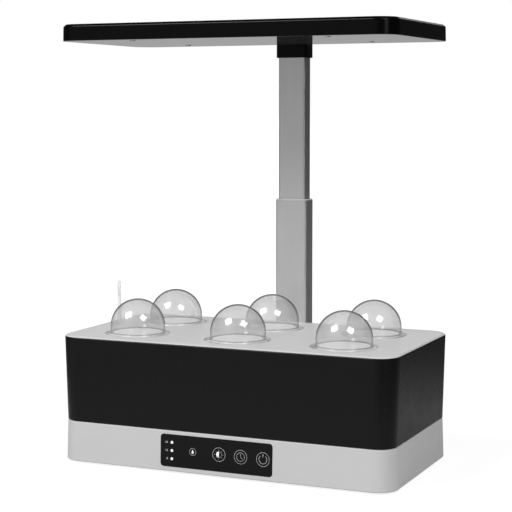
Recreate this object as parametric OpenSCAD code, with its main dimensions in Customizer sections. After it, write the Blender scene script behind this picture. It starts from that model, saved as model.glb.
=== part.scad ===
// Countertop hydroponic garden: base, water tank, deck with six slotted pods under clear domes,
// and a grow light on a telescoping mast. Millimetres, +Z up, X to the right, Y to the back.
// The origin is on the resting plane under the middle of the whole object. The modules are drawn
// round the middle of the tank, and placed() moves them forward to make room for the mast's heel.

/* [Body] */
// Width of the tank and the deck
body_w = 300; // [285:1:340]
// Depth of the tank and the deck
body_d = 155; // [150:1:180]
// Corner radius of the tank and the deck, seen from above
corner_r = 17.5; // [14:0.5:24]
// How far the base and the tank step in where they meet
seam_inset = 1.8; // [0.8:0.1:2.6]

/* [Base] */
// Height that the rubber feet stand out below the base
foot_h = 1.8; // [1:0.1:4]
// Radius of a rubber foot
foot_r = 9; // [6:0.5:12]
// Height of the base housing
base_h = 34.2; // [33.5:0.1:50]
// How far the bottom edge of the base lies inside the rim of the tank
base_inset = 0.6; // [0.2:0.1:1.5]
// Wall of the base housing
base_wall = 2.4; // [1.8:0.1:3]
// Thickness of the bottom cover
cover_t = 2.2; // [1.6:0.1:3]
// Height of the raised pad that the tank drops over
pad_h = 3; // [2:0.1:4]
// How far the raised pad lies inside the outer edge
pad_inset = 8; // [7:0.5:12]

/* [Panel] */
// Width of the touch panel
panel_w = 100.8; // [90:0.2:120]
// Height of the touch panel
panel_h = 27; // [24:0.2:28.6]
// Corner radius of the touch panel
panel_r = 2.8; // [1:0.1:5]
// Thickness of the touch panel
panel_t = 0.8; // [0.6:0.1:1.2]
// Sideways place of the middle of the panel
panel_x = -2.2; // [-10:0.1:10]
// Spacing of the three level lights, one above the other
light_pitch = 6.85; // [5:0.05:8]
// Radius of a level light
light_r = 1.2; // [1:0.1:2]
// Distance of the level lights from the middle of the panel
light_dx = 40; // [38:0.2:44]

/* [Tank] */
// Height of the tank
tank_h = 71.9; // [66:0.1:90]
// Wall of the tank
tank_wall = 2.4; // [1.8:0.1:3]
// Thickness of the tank floor
tank_floor = 2.4; // [2:0.1:4]

/* [Deck] */
// Height of the deck's edge above the rim of the tank
deck_lip = 1.3; // [1:0.1:3]
// Thickness of the deck plate
deck_t = 4.2; // [3.6:0.1:6]
// Depth of the stiffening ribs below the plate
rib_h = 7; // [4:0.5:12]
// Thickness of a stiffening rib
rib_t = 1.6; // [1.2:0.1:2.4]

/* [Pods] */
// Distance of the outer pods from the ends of the tank
pod_side = 55.5; // [53:0.5:64]
// Distance of each row of pods from the front or back of the tank
pod_edge = 41.1; // [39.5:0.1:44]
// Radius of the round seat sunk into the deck
seat_r = 28.4; // [28:0.1:30]
// Depth of the round seat
seat_depth = 1.6; // [1.4:0.1:2.2]
// Radius of the basket's rim
rim_r = 27; // [26:0.1:27.6]
// Thickness of the basket's rim
rim_t = 0.8; // [0.6:0.1:1.2]
// Radius of the basket at the top, outside
basket_r = 20; // [18:0.1:20.8]
// Radius of the basket at the bottom, outside
basket_foot_r = 13.5; // [11:0.1:16]
// Depth of the basket below the deck
basket_h = 46; // [38:0.5:50]
// Wall of the basket
basket_wall = 1.4; // [1:0.1:2]
// Number of slots round the basket
slot_n = 10; // [6:1:12]
// Width of a slot
slot_w = 3.2; // [2:0.1:4]
// Radius of the pod cap
cap_r = 21.4; // [21:0.1:21.8]
// Thickness of the pod cap
cap_t = 1.4; // [1:0.1:2]
// Length of the grow sponge
sponge_h = 34; // [24:1:36]

/* [Domes] */
// Radius of the dome, outside
dome_r = 23.4; // [23.2:0.1:25]
// Wall of the dome
dome_wall = 1.2; // [1:0.1:1.4]
// Height of the straight skirt under the round part
dome_skirt = 6.9; // [4:0.1:12]
// Radius of the dome's flat rim
dome_rim_r = 27; // [26:0.1:27.6]
// Thickness of the dome's flat rim
dome_rim_t = 1.2; // [0.8:0.1:1.6]

/* [Float gauge] */
// Distance of the gauge from the left end of the tank
gauge_side = 17.4; // [17:0.2:20]
// Radius of the gauge rod
gauge_r = 1.65; // [1.2:0.05:2.2]
// Height of the rod above the deck with the tank full
gauge_out = 39.6; // [36:0.1:50]
// Radius of the float block
float_r = 6.4; // [5:0.1:6.6]
// Height of the float block
float_h = 12; // [8:0.5:16]
// Fall of the float between a full and an empty tank
float_fall = 34; // [20:0.5:34]

/* [Pump] */
// Length of the pump
pump_l = 40; // [34:1:44]
// Depth of the pump
pump_d = 27; // [22:1:28]
// Height of the pump
pump_h = 26; // [20:1:28]
// Distance of the pump's middle from the back of the tank
pump_edge = 37.5; // [34:0.5:44]

/* [Mast] */
// Width of the lower mast
sleeve_w = 29.8; // [29:0.1:34]
// Depth of the lower mast
sleeve_d = 17.3; // [17:0.1:20]
// Wall of the lower mast
sleeve_wall = 1.1; // [0.9:0.1:1.4]
// Top end of the lower mast above the resting plane
sleeve_top = 218.8; // [190:0.1:235]
// Width of the upper mast
pole_w = 25.8; // [20:0.1:26]
// Depth of the upper mast
pole_d = 13.6; // [10:0.1:13.7]
// Wall of the upper mast
pole_wall = 1.1; // [0.9:0.1:1.6]
// Outer corner radius of both masts
mast_r = 2; // [1.6:0.1:2.6]
// Gap between the rim of the tank and the mast
mast_gap = 1; // [0.6:0.1:4]
// Running clearance of the sliding mast, on each side
slide_fit = 0.08; // [0.03:0.01:0.1]
// How far the lamp can still rise from its place
mast_rise = 30; // [10:1:40]

/* [Lamp] */
// Width of the lamp
lamp_w = 296; // [240:1:330]
// Depth of the lamp
lamp_d = 153; // [140:1:156]
// Gap between the back of the lamp and its neck
lamp_gap = 3.2; // [2:0.1:8]
// Corner radius of the lamp
lamp_r = 17.5; // [12:0.5:24]
// Height of the underside of the lamp above the resting plane
lamp_z = 357; // [350:0.5:375]
// Height of the lamp's straight side
lamp_side = 12; // [11.6:0.1:20]
// Height of the sloping edge on top
lamp_slope = 1.8; // [0.4:0.1:3]
// Width of the sloping edge on top
lamp_bevel = 2.4; // [1:0.1:10]
// Wall of the lamp shade
lamp_wall = 2; // [1.4:0.1:2.6]
// Thickness of the lamp plate
plate_t = 2; // [1.4:0.1:2.4]
// LEDs along the width
led_cols = 12; // [6:1:16]
// LEDs along the depth
led_rows = 6; // [3:1:7]
// Distance of the plate screws from the ends of the lamp
screw_side = 61.5; // [40:0.5:80]
// Distance of the plate screws from the front and back of the lamp
screw_edge = 24.5; // [22:0.5:34]
// Height of the neck seen below the lamp
neck_h = 11.2; // [8:0.1:16]
// How much the neck is thicker than the upper mast, on each side
neck_wall = 1.7; // [1.2:0.1:2]

/* [Hidden] */
$fn = 64;
eps = 0.01;
soft_gap = 0.3;          // gap between pieces that lift away from each other
part_gap = 0.2;          // gap between pieces that are fixed to each other

base_top = foot_h + base_h;
pad_top = base_top + pad_h;
base_edge = 0.6;         // chamfer round the bottom edge
face_tilt = atan((seam_inset - base_inset) / (base_h - base_edge));
face_mid_inset = (base_inset + seam_inset) / 2;
face_mid_z = foot_h + (base_h + base_edge) / 2;
cover_z = foot_h + 0.3;
cover_top = cover_z + cover_t;
base_inner = base_inset + base_wall;
screw_hole_r = 1.3;
screw_r = 1.25;
column_r = 4;
cover_side = 26;
cover_edge = 20;
cover_screw_dx = body_w / 2 - cover_side;
cover_screw_dy = body_d / 2 - cover_edge;
cover_screw_mid = -36;   // the middle pair stands left of the mast's lead
cover_screw_l = 9;
cover_rib_in = 30;
foot_side = 32;
foot_edge = 36;
foot_dx = body_w / 2 - foot_side;
foot_dy = body_d / 2 - foot_edge;
foot_hollow = 3;
board_post_h = 4;
board_t = 1.6;
board_z = cover_top + board_post_h;
board_top = board_z + board_t;
board_w = 120;
board_d = 66;
board_y = -4;
lead_r = 1.6;
lead_z = board_top + lead_r + part_gap;
panel_sink = panel_t - 0.2;
panel_board_t = 1.6;
panel_margin = 4;
socket_r = 8;
plug_x = 0;
plug_y = body_d / 2 - pump_edge;
pin_r = 1.2;
pin_dx = 3.5;

tank_z = base_top;
tank_top = tank_z + tank_h;
tank_floor_z = pad_top + soft_gap;
tank_floor_top = tank_floor_z + tank_floor;
deck_top = tank_top + deck_lip;
deck_bottom = deck_top - deck_t;

mast_y = body_d / 2 + mast_gap + sleeve_d / 2;
heel_wall = 3.4;
heel_side = 13;
heel_w = sleeve_w + 2 * heel_side;
heel_back = mast_y + sleeve_d / 2 + heel_wall;
heel_r = 8;
socket_floor = foot_h + 4.2;
mast_screw_z = [socket_floor + 12, socket_floor + 22];
mast_screw_dx = 7;
bush_lip = 1;
bush_skirt = 14;
glide_h = 14;
glide_floor = 2;
bush_bottom = sleeve_top - bush_skirt;
pole_bottom = bush_bottom - mast_rise - 0.5 - glide_h;
sleeve_in_w = sleeve_w - 2 * sleeve_wall;
sleeve_in_d = sleeve_d - 2 * sleeve_wall;

neck_bottom = lamp_z - neck_h;
pole_top = lamp_z - 1;
neck_w = pole_w + 2 * neck_wall;
neck_d = pole_d + 2 * neck_wall;
neck_top = lamp_z + lamp_side - 0.4;
lamp_back = mast_y - neck_d / 2 - lamp_gap;
lamp_y = lamp_back - lamp_d / 2;
plate_screw_shift = 3;
plate_head_r = 2.3;
plate_head_h = 0.5;
plate_screw_y = lamp_y - plate_screw_shift;
shade_top = lamp_z + lamp_side + lamp_slope;
shade_roof = shade_top - lamp_wall - 0.4;
plate_top = lamp_z + plate_t;
led_t = 0.9;
led_gap = 0.3;
led_board_z = plate_top + led_gap + led_t;
led_board_t = 1.6;
led_board_top = led_board_z + led_board_t;
led_board_side = 20;
led_board_edge = 15;
led_board_w = lamp_w - 2 * led_board_side;
led_board_d = lamp_d - 2 * led_board_edge;
led_edge = 12;
led_side = 3.5;
tongue_w = pole_w;
tongue_z = led_board_top + 0.6;
tongue_in = 18;
tongue_t = shade_roof - tongue_z;
lamp_lead_z = tongue_z + tongue_t / 2;

pod_pitch = body_w / 2 - pod_side;
pods = [for (row = [-1, 1], col = [-1, 0, 1]) [col * pod_pitch, row * (body_d / 2 - pod_edge)]];
gauge_x = body_w / 2 - gauge_side;
mark_drop = 14;
mark_w = 0.6;
mark_in = 0.35;
deck_edge = 0.7;
pump_x = pod_pitch / 2;  // between two columns of pods
pump_y = body_d / 2 - pump_edge;
seat_z = deck_top - seat_depth;
rim_top = seat_z + rim_t;
basket_z = deck_top - basket_h;
hole_r = basket_r + 0.5;

frame_shift = (heel_back - body_d / 2) / 2;

// ---------------------------------------------------------------- shared forms

module placed() {
    translate([0, -frame_shift, 0]) children();
}

// Rounded rectangle, seen from above
module outline(w, d, r) {
    square([w - 2 * r, d], center = true);
    square([w, d - 2 * r], center = true);
    for (x = [-1, 1], y = [-1, 1])
        translate([x * (w / 2 - r), y * (d / 2 - r)]) circle(r);
}

// Solid with drafted or stepped sides on a rounded rectangle. Each level is [height, inset].
module drafted(w, d, r, levels) {
    low = levels[0][0];
    high = levels[len(levels) - 1][0];
    function side(reach) = concat([[0, low]], [for (l = levels) [reach - l[1], l[0]]], [[0, high]]);
    for (turn = [0, 1, 2, 3]) {
        run = turn % 2 == 0 ? d - 2 * r : w - 2 * r;
        cx = turn % 2 == 0 ? w / 2 - r : d / 2 - r;
        rotate([0, 0, 90 * turn]) {
            translate([cx, run / 2, 0]) rotate([90, 0, 0]) linear_extrude(run) polygon(side(r));
            translate([cx, run / 2, 0]) rotate_extrude(angle = 90) polygon(side(r));
        }
    }
    translate([-(w / 2 - r), -(d / 2 - r), low]) cube([w - 2 * r, d - 2 * r, high - low]);
}

// Rectangular tube with rounded corners
module box_tube(w, d, r, wall, low, high) {
    translate([0, 0, low]) linear_extrude(high - low) difference() {
        outline(w, d, r);
        outline(w - 2 * wall, d - 2 * wall, max(r - wall, 0.4));
    }
}

// Upright bar on a rounded rectangle
module bar(w, d, r, low, high) {
    translate([0, 0, low]) linear_extrude(high - low) outline(w, d, r);
}

// Upright round post
module post(r, low, high) {
    translate([0, 0, low]) cylinder(h = high - low, r = r);
}

// Puts its child on the leaning front face of the base: x right, y up the face, z outwards
module on_front() {
    translate([panel_x, -body_d / 2 + face_mid_inset, face_mid_z])
        rotate([90 - face_tilt, 0, 0]) children();
}

// Puts its child on the leaning back face of the base, right of the mast
module on_back() {
    translate([body_w / 3, body_d / 2 - face_mid_inset, face_mid_z])
        rotate([0, 0, 180]) rotate([90 - face_tilt, 0, 0]) children();
}

module four(dx, dy) {
    for (x = [-1, 1], y = [-1, 1]) translate([x * dx, y * dy, 0]) children();
}

module cover_screw_places() {
    four(cover_screw_dx, cover_screw_dy) children();
    for (y = [-1, 1]) translate([cover_screw_mid, y * cover_screw_dy, 0]) children();
}

// ---------------------------------------------------------------- base

// Housing, open below. A raised pad on top locates the tank, and a heel behind it holds the mast.
module base_case() {
    cavity_top = base_top - base_wall;
    color("lightgray") difference() {
        union() {
            difference() {
                union() {
                    drafted(body_w, body_d, corner_r,
                        [[foot_h, base_inset + base_edge], [foot_h + base_edge, base_inset],
                            [base_top, seam_inset]]);
                    drafted(body_w, body_d, corner_r,
                        [[base_top - eps, pad_inset], [pad_top - 0.6, pad_inset],
                            [pad_top, pad_inset + 0.6]]);
                    translate([0, (body_d / 2 + heel_back) / 2 - 12, 0])
                        drafted(heel_w, heel_back - body_d / 2 + 24, heel_r,
                            [[foot_h, base_edge], [foot_h + base_edge, 0],
                                [base_top - 1.6, 0.6], [base_top - 0.4, 1.8]]);
                }
                drafted(body_w, body_d, corner_r,
                    [[foot_h - 1, base_inner], [cavity_top, seam_inset + base_wall]]);
            }
            // Columns for the cover screws
            cover_screw_places() post(column_r, cover_top, cavity_top + 1);
        }
        cover_screw_places() post(screw_hole_r, cover_top - 1, cavity_top - 6);
        // Seat of the mast, with the lead's way into the housing
        translate([0, mast_y, 0])
            bar(sleeve_w + part_gap, sleeve_d + part_gap, mast_r, socket_floor, base_top + 1);
        translate([0, body_d / 2 - 12, lead_z]) rotate([-90, 0, 0]) cylinder(h = 16, r = lead_r + 0.8);
        for (z = mast_screw_z, x = [-1, 1])
            translate([x * mast_screw_dx, heel_back + 1, z]) rotate([90, 0, 0]) {
                cylinder(h = heel_wall + 3, r = screw_r + 0.1);
                cylinder(h = 2.6, r = 3.1);
            }
        // Recess for the panel, and the window for the touch board behind it
        on_front() translate([0, 0, -panel_sink]) linear_extrude(3)
            outline(panel_w + part_gap, panel_h + part_gap, panel_r);
        on_front() translate([0, 0, -8]) linear_extrude(9)
            outline(panel_w - 2 * panel_margin + 0.4, panel_h - 2 * panel_margin + 0.4, 1.2);
        on_back() translate([0, 0, -6]) cylinder(h = 8, r = 5.6);
        translate([plug_x, plug_y, 0]) post(socket_r + part_gap, base_top - base_wall - 1, pad_top + 1);
        // Vent slots in the back face, left of the mast
        for (i = [0:5]) mirror([1, 0, 0]) on_back()
            translate([-12 + 5 * i, 0, -6]) linear_extrude(8) outline(2, 14, 0.99);
    }
}

// Bottom plate with stiffening ribs, board posts and counterbored screw holes
module base_cover() {
    color("lightgray") difference() {
        union() {
            drafted(body_w, body_d, corner_r,
                [[cover_z, base_inner + part_gap], [cover_top, base_inner + part_gap]]);
            for (x = [-1, 1]) translate([x * body_w / 6 - rib_t / 2, -body_d / 2 + cover_rib_in, cover_top])
                cube([rib_t, body_d - 2 * cover_rib_in, 2]);
            translate([0, board_y, 0]) four(board_w / 2 - 5, board_d / 2 - 5) post(3, cover_top, board_z);
        }
        cover_screw_places() {
            post(screw_hole_r + 0.3, cover_z - 1, cover_top + 1);
            post(3.2, cover_z - 1, cover_z + 1.2);
        }
        four(foot_dx, foot_dy) post(foot_r + 0.1, cover_z - 1, cover_z + 0.6);
        translate([0, board_y, 0]) four(board_w / 2 - 5, board_d / 2 - 5)
            post(1, cover_top + 0.5, board_z + 1);
    }
}

// Round feet, hollowed a little below and stuck into the cover
module rubber_feet() {
    color("dimgray") four(foot_dx, foot_dy) difference() {
        union() {
            post(foot_r, 0.6, cover_z + 0.6);
            cylinder(h = 0.6, r1 = foot_r - 0.6, r2 = foot_r);
        }
        post(foot_r - foot_hollow, -1, 0.5);
    }
}

module cover_screws() {
    color("silver") cover_screw_places() {
        post(2.9, cover_z + 0.1, cover_z + 1.2);
        post(screw_r, cover_z + 1.2, cover_top + cover_screw_l);
    }
}

// Gloss panel with three holes for the level lights. It senses touch and doesn't travel.
module control_overlay() {
    color("black") on_front() difference() {
        translate([0, 0, -panel_sink]) linear_extrude(panel_t) outline(panel_w, panel_h, panel_r);
        for (i = [-1, 0, 1]) translate([-light_dx, i * light_pitch, -2]) cylinder(h = 4, r = light_r + 0.05);
    }
}

module level_lights() {
    color("white") on_front() for (i = [-1, 0, 1])
        translate([-light_dx, i * light_pitch, -panel_sink]) cylinder(h = panel_t + 0.06, r = light_r);
}

// Sensor board glued behind the panel, inside the window of the housing
module touch_board() {
    color("darkgreen") on_front() translate([0, 0, -panel_sink - panel_board_t])
        linear_extrude(panel_board_t) outline(panel_w - 2 * panel_margin, panel_h - 2 * panel_margin, 1);
}

// Control board with its tallest components
module main_board() {
    u = board_w / 60;
    color("darkgreen") translate([0, board_y, 0]) {
        difference() {
            translate([0, 0, board_z]) linear_extrude(board_t) outline(board_w, board_d, 2);
            four(board_w / 2 - 5, board_d / 2 - 5) post(1.1, board_z - 1, board_top + 1);
        }
        translate([-21 * u, u, board_top]) cube([10 * u, 9 * u, 4.5 * u]);
        translate([-23 * u, -12 * u, board_top]) cube([13 * u, 6 * u, 2.5 * u]);
        translate([16 * u, -4 * u, 0]) post(2.5 * u, board_top, board_top + 6 * u);
        translate([22.5 * u, -4 * u, 0]) post(2 * u, board_top, board_top + 5 * u);
        translate([11 * u, 6 * u, board_top]) cube([11 * u, 5 * u, 3 * u]);
    }
}

// Round low-voltage inlet with its centre pin, held by a nut ring on the outside
module dc_inlet() {
    color("black") on_back() {
        difference() {
            union() {
                cylinder(h = 1.5, r = 7.5);
                translate([0, 0, -12]) cylinder(h = 12, r = 5.5);
            }
            translate([0, 0, -9]) cylinder(h = 12, r = 2.75);
        }
        translate([0, 0, -9.5]) cylinder(h = 10, r = 1);
    }
}

// Two sprung contacts in an insulating block, under the tank's plug
module contact_socket() {
    top = pad_top - soft_gap;
    color("black") translate([plug_x, plug_y, 0]) difference() {
        union() {
            post(socket_r, top - 8, top);
            post(socket_r + 2, base_top - base_wall - 2.4, base_top - base_wall);
        }
        for (x = [-1, 1]) translate([x * pin_dx, 0, 0]) post(pin_r + soft_gap, top - 4, top + 1);
    }
}

// Lead from the main board into the foot of the mast
module base_lead() {
    start = board_y + board_d / 2 - lead_r;
    color("black") {
        translate([0, start, lead_z]) rotate([-90, 0, 0]) cylinder(h = mast_y - start, r = lead_r);
        translate([0, mast_y, lead_z]) sphere(lead_r);
        translate([0, mast_y, lead_z]) cylinder(h = 4, r = lead_r);
    }
}

// Lower mast: extruded aluminium tube
module lower_mast() {
    color("silver") translate([0, mast_y, 0]) difference() {
        box_tube(sleeve_w, sleeve_d, mast_r, sleeve_wall, socket_floor, sleeve_top);
        translate([0, 0, lead_z]) rotate([90, 0, 0]) cylinder(h = sleeve_d, r = lead_r + 0.8);
        for (z = mast_screw_z, x = [-1, 1]) translate([x * mast_screw_dx, 0, z]) rotate([-90, 0, 0])
            cylinder(h = sleeve_d, r = screw_r + 0.05);
    }
}

// Guide bush at the top of the lower mast: a lip on the tube's end and a skirt inside it
module mast_bush() {
    color("gainsboro") translate([0, mast_y, 0]) difference() {
        union() {
            bar(sleeve_w - 0.4, sleeve_d - 0.4, mast_r, sleeve_top, sleeve_top + bush_lip);
            bar(sleeve_in_w - 0.06, sleeve_in_d - 0.06, mast_r - sleeve_wall, bush_bottom, sleeve_top + eps);
        }
        bar(pole_w + 2 * slide_fit, pole_d + 2 * slide_fit, mast_r,
            bush_bottom - 1, sleeve_top + bush_lip + 1);
    }
}

module mast_screws() {
    color("silver") for (z = mast_screw_z, x = [-1, 1])
        translate([x * mast_screw_dx, heel_back - 1.6, z]) rotate([90, 0, 0]) {
            translate([0, 0, -1.4]) cylinder(h = 1.4, r = 2.9);
            cylinder(h = heel_wall + 0.6, r = screw_r - 0.05);
        }
}

// ---------------------------------------------------------------- tank

// Open-topped tank with drafted walls. Its sunk underside drops over the pad of the base.
module water_tank() {
    inner_low = seam_inset + tank_wall;
    color("black") difference() {
        union() {
            difference() {
                drafted(body_w, body_d, corner_r,
                    [[tank_z, seam_inset + 0.4], [tank_z + 0.5, seam_inset],
                        [tank_top - 0.5, 0], [tank_top, 0.4]]);
                drafted(body_w, body_d, corner_r,
                    [[tank_floor_top, inner_low + 2], [tank_floor_top + 2, inner_low],
                        [tank_top + 1, tank_wall]]);
            }
            // Boss round the contact plug
            translate([plug_x, plug_y, 0]) post(9, tank_floor_top - 1, tank_floor_top + 4);
            // Low frame that keeps the pump in place
            translate([pump_x, pump_y, 0]) difference() {
                bar(pump_l + 8, pump_d + 8, 4, tank_floor_top - 1, tank_floor_top + 3);
                bar(pump_l + 4, pump_d + 4, 2.5, tank_floor_top - 2, tank_floor_top + 4);
            }
        }
        // Sunk underside
        drafted(body_w, body_d, corner_r,
            [[tank_z - 1, pad_inset - soft_gap - 0.4], [tank_floor_z, pad_inset - soft_gap - 0.4]]);
        translate([plug_x, plug_y, 0]) post(5.1, tank_floor_z - 1, tank_floor_top + 5);
    }
}

// Submersible pump: rounded block with an impeller chamber in front
module pump_body() {
    low = tank_floor_top + 4;
    color("dimgray") translate([pump_x, pump_y, 0]) difference() {
        union() {
            bar(pump_l, pump_d, 4, low, low + pump_h);
            translate([-pump_l / 2 + 12, 0, 0]) post(7, low + pump_h - 1, low + pump_h + 2);
        }
        // Bore of the outlet
        translate([-pump_l / 2 + 12, 0, 0]) post(4, low + pump_h - 8, low + pump_h + 3);
    }
}

// Snap-on inlet cover with slots, on the front of the pump
module pump_filter() {
    low = tank_floor_top + 4;
    w = pump_l - 6;
    color("black") translate([pump_x, pump_y - pump_d / 2, low + pump_h / 2])
            rotate([90, 0, 0]) difference() {
        linear_extrude(5) outline(w, pump_h - 6, 3);
        translate([0, 0, -1]) linear_extrude(4.6) outline(w - 3, pump_h - 9, 2);
        for (i = [-3:3]) translate([i * 4, 0, 0]) linear_extrude(6) outline(1.6, pump_h - 12, 0.79);
    }
}

// Outlet nozzle pushed into the top of the pump
module pump_outlet() {
    low = tank_floor_top + 4 + pump_h;
    color("dimgray") translate([pump_x - pump_l / 2 + 12, pump_y, 0]) difference() {
        union() {
            post(3.9, low - 7, low + 2);
            post(5.5, low + 2, low + 4);
            translate([0, 0, low + 4]) cylinder(h = 12, r1 = 4.2, r2 = 3.4);
        }
        post(2.4, low - 8, low + 17);
    }
}

// Four suction cups under the pump
module pump_cups() {
    low = tank_floor_top;
    color("gray") translate([pump_x, pump_y, 0]) four(pump_l / 2 - 7, pump_d / 2 - 6) {
        translate([0, 0, low]) cylinder(h = 2.4, r1 = 5, r2 = 2);
        post(2, low + 2.4 - eps, low + 4);
    }
}

// Lead from the pump to the contact plug
module pump_lead() {
    pump_side = pump_x - pump_l / 2;
    z = tank_floor_top + 14;
    color("black") {
        translate([plug_x, plug_y, z]) rotate([0, 90, 0]) cylinder(h = pump_side - plug_x, r = 1.5);
        translate([plug_x, plug_y, z]) sphere(1.5);
        translate([plug_x, plug_y, 0]) post(1.5, tank_floor_top + 7, z);
    }
}

// Sealed plug through the tank floor, with two pins that reach down to the socket
module contact_plug() {
    color("black") translate([plug_x, plug_y, 0]) {
        post(8, tank_floor_top + 4, tank_floor_top + 7);
        post(5, tank_floor_z, tank_floor_top + 4);
        for (x = [-1, 1]) translate([x * pin_dx, 0, 0]) post(pin_r, tank_floor_z - 2.4, tank_floor_z);
    }
}

// ---------------------------------------------------------------- deck

// Deck plate that hangs in the tank's rim, with sunk pod seats, collars and ribs below
module deck() {
    plate_inset = tank_wall + 0.8 + part_gap;
    color("lightgray") difference() {
        union() {
            drafted(body_w, body_d, corner_r,
                [[tank_top, 0.7], [tank_top + 0.3, 0.3],
                    [deck_top - deck_edge, 0.3], [deck_top, 0.3 + deck_edge]]);
            drafted(body_w, body_d, corner_r, [[deck_bottom, plate_inset], [tank_top + eps, plate_inset]]);
            // Locating rib and stiffening ribs
            difference() {
                drafted(body_w, body_d, corner_r,
                    [[deck_bottom - rib_h, plate_inset + 0.6], [deck_bottom + eps, plate_inset]]);
                drafted(body_w, body_d, corner_r,
                    [[deck_bottom - rib_h - 1, plate_inset + rib_t + 0.6],
                        [deck_bottom + 1, plate_inset + rib_t]]);
            }
            for (x = [-1, 1])
                translate([x * pod_pitch / 2 - rib_t / 2, -body_d / 2 + 5, deck_bottom - rib_h])
                    cube([rib_t, body_d - 10, rib_h + 1]);
            translate([-gauge_x + 5, -rib_t / 2, deck_bottom - rib_h])
                cube([gauge_x + body_w / 2 - 10, rib_t, rib_h + 1]);
            for (p = pods) translate([p[0], p[1], 0]) post(hole_r + rib_t, deck_bottom - 5, deck_bottom + 1);
            // Slotted guide for the float
            translate([-gauge_x, 0, 0])
                post(float_r + 2.2, deck_bottom - float_fall - float_h - 2, deck_bottom + 1);
        }
        for (p = pods) translate([p[0], p[1], 0]) {
            post(seat_r, seat_z, deck_top + 1);
            post(hole_r, deck_bottom - rib_h - 2, deck_top + 1);
        }
        translate([-gauge_x, 0, 0]) {
            post(gauge_r + 0.35, deck_bottom - 1, deck_top + 1);
            post(float_r + 0.6, deck_bottom - float_fall - float_h - 4, deck_bottom);
            for (a = [30, 90, 150]) rotate([0, 0, a])
                translate([0, 0, deck_bottom - float_fall - float_h / 2 + 6])
                    cube([3 * float_r, 3, float_fall + float_h - 8], center = true);
        }
    }
}

// Gauge rod with a groove as its mark, carried by the float block
module gauge_rod() {
    top = deck_top + gauge_out;
    foot = deck_bottom - 2 - float_h;
    mark = top - mark_drop;
    color("white") translate([-gauge_x, 0, 0]) {
        post(gauge_r, foot, mark - mark_w / 2);
        post(gauge_r - mark_in, mark - mark_w / 2 - eps, mark + mark_w / 2 + eps);
        post(gauge_r, mark + mark_w / 2, top - gauge_r * 0.6);
        translate([0, 0, top - gauge_r * 0.6]) cylinder(h = gauge_r * 0.6, r1 = gauge_r, r2 = gauge_r * 0.6);
    }
}

module float_block() {
    foot = deck_bottom - 2 - float_h;
    color("white") translate([-gauge_x, 0, 0]) difference() {
        union() {
            translate([0, 0, foot]) cylinder(h = 1, r1 = float_r - 1, r2 = float_r);
            post(float_r, foot + 1, foot + float_h - 1);
            translate([0, 0, foot + float_h - 1]) cylinder(h = 1, r1 = float_r, r2 = float_r - 1);
        }
        post(gauge_r + 0.02, foot - 1, foot + float_h + 1);
    }
}

// ---------------------------------------------------------------- pods

// Tapered basket with a flat rim, upright slots in two rows and a slotted floor
module basket(place) {
    below = seat_z - basket_z;
    mid_ring = 3;
    row_h = (below - 4 * mid_ring) / 2;
    color("whitesmoke") translate([place[0], place[1], 0]) difference() {
        union() {
            post(rim_r, seat_z, rim_top);
            translate([0, 0, basket_z]) cylinder(h = below + eps, r1 = basket_foot_r, r2 = basket_r);
        }
        translate([0, 0, basket_z + basket_wall])
            cylinder(h = basket_h, r1 = basket_foot_r - basket_wall,
                r2 = basket_r - basket_wall + basket_wall * (basket_r - basket_foot_r) / below);
        for (row = [0, 1], i = [0:slot_n - 1]) rotate([0, 0, 360 / slot_n * i])
            translate([basket_foot_r - 5, -slot_w / 2, basket_z + mid_ring + row * (row_h + mid_ring)])
                cube([basket_r, slot_w, row_h]);
        for (i = [0:3]) rotate([0, 0, 45 * i]) translate([0, 0, basket_z])
            cube([2 * basket_foot_r - 7, 1.8, 4 * basket_wall], center = true);
    }
}

// Tapered grow sponge with a seed hole
module sponge(place) {
    low = basket_z + basket_wall + 6;
    slope = (basket_r - basket_foot_r) / (seat_z - basket_z);
    r_low = basket_foot_r - basket_wall - part_gap + slope * (low - basket_z - basket_wall);
    color("saddlebrown") translate([place[0], place[1], 0]) difference() {
        translate([0, 0, low]) cylinder(h = sponge_h, r1 = r_low, r2 = r_low + slope * sponge_h);
        post(2.5, low + sponge_h - 16, low + sponge_h + 1);
    }
}

// Light-grey cap that closes the basket, with a short spigot that drops into it
module pod_cap(place) {
    spigot_r = basket_r - basket_wall - part_gap;
    color("gainsboro") translate([place[0], place[1], 0]) {
        post(cap_r, rim_top, rim_top + cap_t - 0.4);
        translate([0, 0, rim_top + cap_t - 0.4 - eps]) cylinder(h = 0.4 + eps, r1 = cap_r, r2 = cap_r - 0.4);
        difference() {
            translate([0, 0, seat_z - 2])
                cylinder(h = 2 + rim_t + eps, r1 = spigot_r - 1, r2 = spigot_r - 0.4);
            post(spigot_r - 2.4, seat_z - 3, rim_top);
        }
    }
}

// Clear dome: a hemisphere on a straight skirt, with a flat rim that rests on the basket's rim
module dome(place) {
    centre = rim_top + dome_skirt;
    color("white", 0.3) translate([place[0], place[1], 0]) difference() {
        union() {
            post(dome_rim_r, rim_top, rim_top + dome_rim_t);
            post(dome_r, rim_top, centre);
            translate([0, 0, centre]) sphere(dome_r);
        }
        post(dome_r - dome_wall, centre - 2 * dome_r, centre);
        translate([0, 0, centre]) sphere(dome_r - dome_wall);
        translate([0, 0, rim_top - 2 * dome_r]) cylinder(h = 2 * dome_r, r = 2 * dome_r);
    }
}

// ---------------------------------------------------------------- head

// Upper mast: narrower aluminium tube that slides in the lower one
module upper_mast() {
    color("silver") translate([0, mast_y, 0])
        box_tube(pole_w, pole_d, mast_r, pole_wall, pole_bottom, pole_top);
}

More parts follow.
